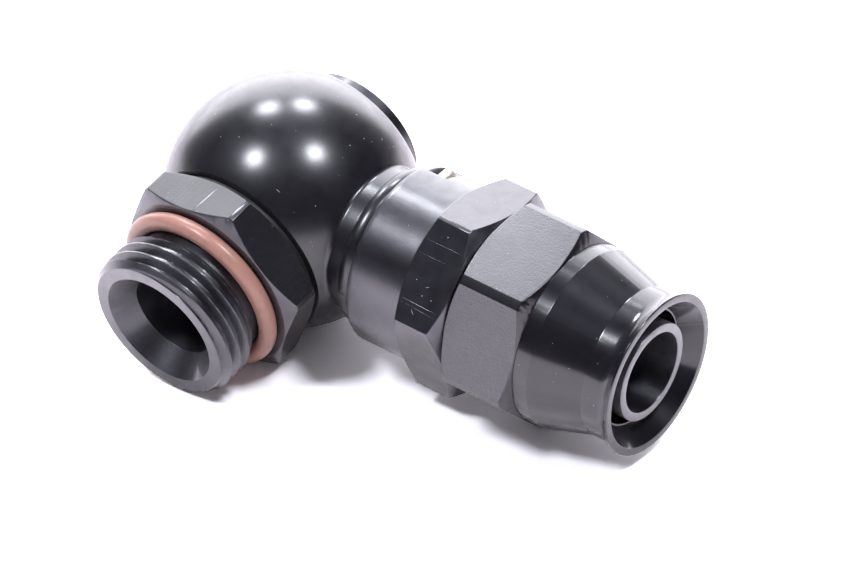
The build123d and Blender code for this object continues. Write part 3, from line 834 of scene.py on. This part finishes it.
def make_marks(name, piece, arm, stations, count, specks, lines):
    """Marks on a piece: those that the photograph shows, which on the bolt are painted highlights
    and glints, and count specks of dust all round.
    """
    vertices, faces = [], []
    for spot in filter(None, (seen_at(piece, pixel) for pixel in specks)):
        add_speck_and_glint(vertices, faces, spot, SEEN_SPECK_AND_GLINT)
    for x1, y1, x2, y2, width in lines:
        spots = [seen_at(piece, (x1 + (x2 - x1) * part, y1 + (y2 - y1) * part))
                 for part in np.linspace(0, 1, SCRATCH_AND_HIGHLIGHT_POINTS)]
        spots = [spot for spot in spots if spot]
        if len(spots) > 2:
            add_scratch_and_highlight_line(vertices, faces, spots, width)
    for step in range(count):
        station, angle = chance.uniform(*stations), chance.uniform(0, 2 * math.pi)
        size = chance.uniform(*DUST_SIZES)
        spot = around_arm(piece, arm, station, angle)
        if spot:
            add_speck_and_glint(vertices, faces, spot, size)
    return mesh_object(name, [tuple(vertex) for vertex in vertices], faces, Matrix.Identity(4))


# Materials

def principled(name, color, roughness, metallic=0.0, ior=1.5):
    """Material with its plain values on the shader, and its nodes for what varies."""
    material = bpy.data.materials.new(name)
    material.use_nodes = True
    shader = material.node_tree.nodes["Principled BSDF"]
    shader.inputs["Base Color"].default_value = (*color, 1)
    shader.inputs["Roughness"].default_value = roughness
    shader.inputs["Metallic"].default_value = metallic
    shader.inputs["IOR"].default_value = ior
    return material, material.node_tree, shader


def vector_math(tree, operation, first, second=None, scale=None):
    """Result of a vector operation on outputs or fixed vectors."""
    node = tree.nodes.new("ShaderNodeVectorMath")
    node.operation = operation
    for socket, value in zip(node.inputs, (first, second)):
        if isinstance(value, bpy.types.NodeSocket):
            tree.links.new(value, socket)
        elif value is not None:
            socket.default_value = value
    if scale is not None:
        node.inputs["Scale"].default_value = scale
    return node.outputs["Value" if operation in ("DOT_PRODUCT", "LENGTH") else "Vector"]


def noise(tree, vector, scale, detail=2.0):
    """Noise between 0 and 1 with its main grains about 1/scale of the vector's unit."""
    node = tree.nodes.new("ShaderNodeTexNoise")
    node.inputs["Scale"].default_value = scale
    node.inputs["Detail"].default_value = detail
    tree.links.new(vector, node.inputs["Vector"])
    return node.outputs["Fac"]


def ranged(tree, value, low, high, start, end, way="LINEAR"):
    """Value mapped from start..end to low..high and held there."""
    node = tree.nodes.new("ShaderNodeMapRange")
    node.interpolation_type = way
    node.inputs["From Min"].default_value = start
    node.inputs["From Max"].default_value = end
    node.inputs["To Min"].default_value = low
    node.inputs["To Max"].default_value = high
    tree.links.new(value, node.inputs["Value"])
    return node.outputs["Result"]


def millimetres(tree):
    """Place of the surface from the ball's centre, in millimetres, with the part at rest."""
    place = tree.nodes.new("ShaderNodeTexCoord")
    from_centre = vector_math(tree, "SUBTRACT", place.outputs["Object"], ball_centre)
    return vector_math(tree, "SCALE", from_centre, scale=1 / MM)


def stretched(tree, vector, axis, ratio):
    """The vector shortened along an axis, so that noise runs out into lines along it."""
    along = vector_math(tree, "PROJECT", vector, axis)
    shortened = vector_math(tree, "SCALE", along, scale=1 - ratio)
    return vector_math(tree, "SUBTRACT", vector, shortened)


def across_rings(tree, vector, axis):
    """Station and radius on an arm, so that noise of them makes turned rings."""
    join = tree.nodes.new("ShaderNodeCombineXYZ")
    tree.links.new(vector_math(tree, "DOT_PRODUCT", vector, axis), join.inputs["X"])
    around = vector_math(tree, "CROSS_PRODUCT", vector, axis)
    tree.links.new(vector_math(tree, "LENGTH", around), join.inputs["Y"])
    return join.outputs["Vector"]


def turning_direction(tree, vector, axis):
    """World direction of the tool marks round an arm."""
    world = tree.nodes.new("ShaderNodeVectorTransform")
    world.vector_type = "VECTOR"
    world.convert_from = "OBJECT"
    world.convert_to = "WORLD"
    tree.links.new(vector_math(tree, "CROSS_PRODUCT", vector, axis), world.inputs["Vector"])
    return vector_math(tree, "NORMALIZE", world.outputs["Vector"])


def bump(tree, shader, height, depth):
    """Relief of a height output, its depth in millimetres."""
    node = tree.nodes.new("ShaderNodeBump")
    node.inputs["Strength"].default_value = 1.0
    node.inputs["Distance"].default_value = depth * MM
    tree.links.new(height, node.inputs["Height"])
    tree.links.new(node.outputs["Normal"], shader.inputs["Normal"])


def wear(tree, shader, place, scale, detail, roughness, most):
    """Roughness that varies over the surface, up to most times its plain value."""
    pattern = noise(tree, place, scale, detail)
    uneven = ranged(tree, pattern, LEAST_WEAR * roughness, most * roughness, *NOISE_SPAN)
    tree.links.new(uneven, shader.inputs["Roughness"])


def added(tree, first, second):
    """Sum of two outputs."""
    node = tree.nodes.new("ShaderNodeMath")
    node.operation = "ADD"
    tree.links.new(first, node.inputs[0])
    tree.links.new(second, node.inputs[1])
    return node.outputs["Value"]


def anodised(name, gloss, haze):
    """Black anodised aluminium: a hazy surface under the oxide's smooth gloss."""
    material, tree, shader = principled(name, BLACK_COLOR, HAZE_ROUGHNESS, ior=HAZE_IOR)
    shader.inputs["Specular IOR Level"].default_value = haze
    shader.inputs["Specular Tint"].default_value = HAZE_TINT
    shader.inputs["Coat Weight"].default_value = 1.0
    shader.inputs["Coat Roughness"].default_value = gloss
    shader.inputs["Coat IOR"].default_value = OXIDE_IOR
    place = millimetres(tree)
    wear(tree, shader, place, WEAR_SCALE, detail=6.0, roughness=HAZE_ROUGHNESS, most=1.25)
    return material, tree, shader, place


def turned_black(name, axis, stretch, relief, gloss, haze):
    """Anodised surface with the fine rings that a lathe leaves."""
    material, tree, shader, place = anodised(name, gloss, haze)
    shader.inputs["Anisotropic"].default_value = stretch
    shader.inputs["Anisotropic Rotation"].default_value = QUARTER_TURN
    tree.links.new(turning_direction(tree, place, axis), shader.inputs["Tangent"])
    rings = noise(tree, across_rings(tree, place, axis), RING_SCALE, detail=3.0)
    grain = noise(tree, place, TURNED_GRAIN_SCALE, detail=1.0)
    bump(tree, shader, added(tree, rings, grain), relief)
    return material


def milled_black(name, axis, ratio, relief, gloss, haze):
    """Anodised hex flat, its grain drawn out along the bar that it was made from."""
    material, tree, shader, place = anodised(name, gloss, haze)
    grain = noise(tree, stretched(tree, place, axis, ratio), MILLED_GRAIN_SCALE, detail=3.0)
    speckle = noise(tree, place, MILLED_SPECKLE_SCALE, detail=1.0)
    bump(tree, shader, added(tree, grain, speckle), relief)
    return material


def rubber(name, color, roughness):
    """Matt rubber, a little mottled and dusty."""
    material, tree, shader = principled(name, color, roughness)
    place = millimetres(tree)
    tint = tree.nodes.new("ShaderNodeMix")
    tint.data_type = "RGBA"
    for socket, share in zip(("A", "B"), RUBBER_MOTTLE):
        tint.inputs[socket].default_value = (*[value * share for value in color], 1)
    mottle = noise(tree, place, RUBBER_MOTTLE_SCALE, detail=5.0)
    tree.links.new(mottle, tint.inputs["Factor"])
    tree.links.new(tint.outputs["Result"], shader.inputs["Base Color"])
    bump(tree, shader, noise(tree, place, RUBBER_GRAIN_SCALE), RUBBER_GRAIN_DEPTH)
    return material


def drawn_metal(name, color, roughness):
    """Soft drawn metal, its brightness uneven."""
    material, tree, shader = principled(name, color, roughness, metallic=METAL_SHARE)
    place = millimetres(tree)
    wear(tree, shader, place, METAL_WEAR_SCALE, detail=4.0, roughness=roughness, most=1.3)
    bump(tree, shader, noise(tree, place, METAL_GRAIN_SCALE), METAL_GRAIN_DEPTH)
    return material


def coat(piece, material):
    """The piece in one material."""
    piece.data.materials.clear()
    piece.data.materials.append(material)


def coat_flats(piece, axis, across, material):
    """A second material on the flats of a hex about an arm."""
    piece.data.materials.append(material)
    for face in piece.data.polygons:
        level = abs(face.normal.dot(axis)) < FLAT_TOLERANCE
        distance = (face.center - ball_centre).dot(face.normal) / MM
        if level and abs(distance - across / 2) < FLAT_TOLERANCE:
            face.material_index = 1


BALL_BLACK = turned_black("ball_black", hose_axis,
                          stretch=0.3, relief=0.006, gloss=0.24, haze=0.22)
COLLAR_BLACK = turned_black("collar_black", hose_axis,
                            stretch=0.85, relief=0.03, gloss=0.24, haze=0.85)
SOCKET_BLACK = turned_black("socket_black", hose_axis,
                            stretch=0.6, relief=0.006, gloss=0.14, haze=0.15)
PORT_BLACK = turned_black("port_black", port_axis,
                          stretch=0.8, relief=0.04, gloss=0.25, haze=0.55)
BOLT_FLATS = milled_black("bolt_flats", port_axis, ratio=0.04, relief=0.12, gloss=0.31, haze=0.12)
STEM_FLATS = milled_black("stem_flats", hose_axis, ratio=0.5, relief=0.012, gloss=0.13, haze=0.3)
NUT_FLATS = milled_black("nut_flats", hose_axis, ratio=0.8, relief=0.2, gloss=0.22, haze=0.7)
PINK = rubber("pink_rubber", (0.48, 0.246, 0.2), 0.3)
BRASS = drawn_metal("brass_wire", (0.88, 0.80, 0.66), 0.4)
# Bare metal of the scratches and dust, which on the bolt also paints the highlights and glints of
# its hex.
BARE_MARKS_AND_HIGHLIGHTS = drawn_metal("bare_marks_and_painted_highlights", (0.62, 0.62, 0.68), 0.5)
NYLON = rubber("black_nylon", (0.02, 0.02, 0.02), 0.5)
RUBBER = rubber("black_rubber", (0.015, 0.015, 0.015), 0.6)


def dress(piece, body, node, material):
    """Piece in its material, standing for a node on a body."""
    coat(piece, material)
    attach(piece, body)
    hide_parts(node)


hex_washer = make_ring("thin_washer_front", HEX_JOURNAL + RUNNING_GAP, WASHER_RADIUS,
                       HEX_BACK - WASHER_THICKNESS, HEX_BACK)
cap_washer = make_ring("thin_washer_rear", CAP_JOURNAL + RUNNING_GAP, CAP_WASHER_RADIUS,
                       CAP_SEAT, CAP_SEAT + WASHER_THICKNESS)
bolt, body, stem, nut = make_bolt(), make_body(), make_stem(), make_nut()
dress(bolt, "bolt", "banjo_bolt", PORT_BLACK)
coat_flats(bolt, port_axis, BOLT_ACROSS, BOLT_FLATS)
dress(make_port_o_ring(), "bolt", "port_o_ring", PINK)
dress(hex_washer, "bolt", "hex_side_thrust_washer", NYLON)
dress(cap_washer, "bolt", "cap_side_thrust_washer", NYLON)
dress(make_cap(), "bolt", "retaining_screw", PORT_BLACK)
dress(body, "banjo", "banjo_body", BALL_BLACK)
dress(stem, "hose_end", "hose_stem", COLLAR_BLACK)
coat_flats(stem, hose_axis, STEM_ACROSS, STEM_FLATS)
dress(make_wire(), "hose_end", "swivel_wire", BRASS)
dress(nut, "socket", "socket_nut", SOCKET_BLACK)
coat_flats(nut, hose_axis, NUT_ACROSS, NUT_FLATS)
bpy.context.view_layer.update()
# Name, piece, body, arm, lowest and highest station of the dust, its specks, what the photo shows;
# on the bolt, what the photo shows is painted highlights and glints
marked = (
    ("ball_dust", body, "banjo", HOSE_ARM, (-14, 13), 90, BALL_SPECKS, BALL_SCRATCHES),
    ("stem_scratches", stem, "hose_end", HOSE_ARM, (19.5, 34), 50, STEM_SPECKS, STEM_SCRATCHES),
    ("nut_dust", nut, "socket", HOSE_ARM, (35.5, 59), 60, (), ()),
    ("bolt_dust_and_painted_highlights", bolt, "bolt", PORT_ARM, (12.5, 27), 50, BOLT_PAINTED_GLINTS, BOLT_PAINTED_HIGHLIGHTS),
)
for name, piece, carrier, arm, stations, count, specks, lines in marked:
    marks = make_marks(name, piece, arm, stations, count, specks, lines)
    coat(marks, BARE_MARKS_AND_HIGHLIGHTS)
    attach(marks, carrier)
for seal in ("bolt_seal_hex_side", "bolt_seal_cap_side", "swivel_seal_rear", "swivel_seal_front"):
    coat(frame["nodes"][seal], RUBBER)
coat(frame["nodes"]["olive"], BRASS)


# Floor, lamps and camera

def floor_color(tree, path, color, before=None):
    """Floor colour, or the output before, that changes to another colour for one kind of ray."""
    paths = tree.nodes.new("ShaderNodeLightPath")
    mix = tree.nodes.new("ShaderNodeMix")
    mix.data_type = "RGBA"
    mix.inputs["A"].default_value = (*FLOOR_COLOR, 1)
    mix.inputs["B"].default_value = (*color, 1)
    if before:
        tree.links.new(before, mix.inputs["A"])
    tree.links.new(paths.outputs[path], mix.inputs["Factor"])
    return mix.outputs["Result"]


def make_floor():
    """Plain white floor under the part."""
    bpy.ops.mesh.primitive_plane_add(size=FLOOR_SIZE, location=(0, 0, floor_z))
    floor = bpy.context.object
    floor.name = "floor"
    material, tree, shader = principled("white_floor", FLOOR_COLOR, FLOOR_ROUGHNESS)
    reflected = floor_color(tree, "Is Glossy Ray", FLOOR_REFLECTED)
    glare = [value * FLOOR_GLARE for value in FLOOR_COLOR]
    color = floor_color(tree, "Is Camera Ray", glare, reflected)
    tree.links.new(color, shader.inputs["Base Color"])
    coat(floor, material)


def make_camera():
    """Camera at the photograph's place."""
    right, up, forward, eye = view_directions()
    data = bpy.data.cameras.new("camera")
    data.sensor_width = SENSOR_WIDTH
    data.lens = CAMERA_FOCAL_PX * SENSOR_WIDTH / IMAGE_WIDTH
    data.clip_start, data.clip_end = CAMERA_CLIP
    camera = bpy.data.objects.new("camera", data)
    turn = Matrix((right, up, -forward)).transposed().to_4x4()
    camera.matrix_world = Matrix.Translation(eye) @ turn
    bpy.context.scene.collection.objects.link(camera)
    bpy.context.scene.camera = camera


def make_lamp(name, direction, power):
    """Round soft lamp that shines on the part."""
    data = bpy.data.lights.new(name, "AREA")
    data.shape = "DISK"
    data.size = LAMP_SIZE
    data.energy = power
    data.color = LAMP_COLOR
    light = bpy.data.objects.new(name, data)
    toward = Vector(direction).normalized()
    light.location = toward * LAMP_DISTANCE
    light.rotation_euler = toward.to_track_quat("Z", "Y").to_euler()
    bpy.context.scene.collection.objects.link(light)


def make_world():
    """White to the camera; to the part, a dim room with a bright round backdrop behind it."""
    world = bpy.data.worlds.new("studio")
    bpy.context.scene.world = world
    world.use_nodes = True
    tree = world.node_tree
    direction = tree.nodes.new("ShaderNodeTexCoord")
    toward = vector_math(tree, "DOT_PRODUCT", direction.outputs["Generated"],
                         Vector(BACKDROP_DIRECTION).normalized())
    outer = math.cos(math.radians(BACKDROP_REACH + BACKDROP_SOFTNESS))
    inner = math.cos(math.radians(BACKDROP_REACH - BACKDROP_SOFTNESS))
    level = ranged(tree, toward, ROOM_LEVEL, BACKDROP_LEVEL, outer, inner, "SMOOTHSTEP")
    room = tree.nodes["Background"]
    room.inputs["Color"].default_value = (*ROOM_COLOR, 1)
    paths = tree.nodes.new("ShaderNodeLightPath")
    strength = tree.nodes.new("ShaderNodeMix")
    strength.inputs["B"].default_value = ROOM_FILL
    tree.links.new(paths.outputs["Is Diffuse Ray"], strength.inputs["Factor"])
    tree.links.new(level, strength.inputs["A"])
    tree.links.new(strength.outputs["Result"], room.inputs["Strength"])
    white = tree.nodes.new("ShaderNodeBackground")
    white.inputs["Color"].default_value = (1, 1, 1, 1)
    mix = tree.nodes.new("ShaderNodeMixShader")
    tree.links.new(paths.outputs["Is Camera Ray"], mix.inputs["Fac"])
    tree.links.new(room.outputs["Background"], mix.inputs[1])
    tree.links.new(white.outputs["Background"], mix.inputs[2])
    tree.links.new(mix.outputs["Shader"], tree.nodes["World Output"].inputs["Surface"])


make_floor()
make_camera()
for name, direction, power in LAMPS:
    make_lamp(name, direction, power)
make_world()
bpy.context.scene.view_settings.view_transform = "Standard"
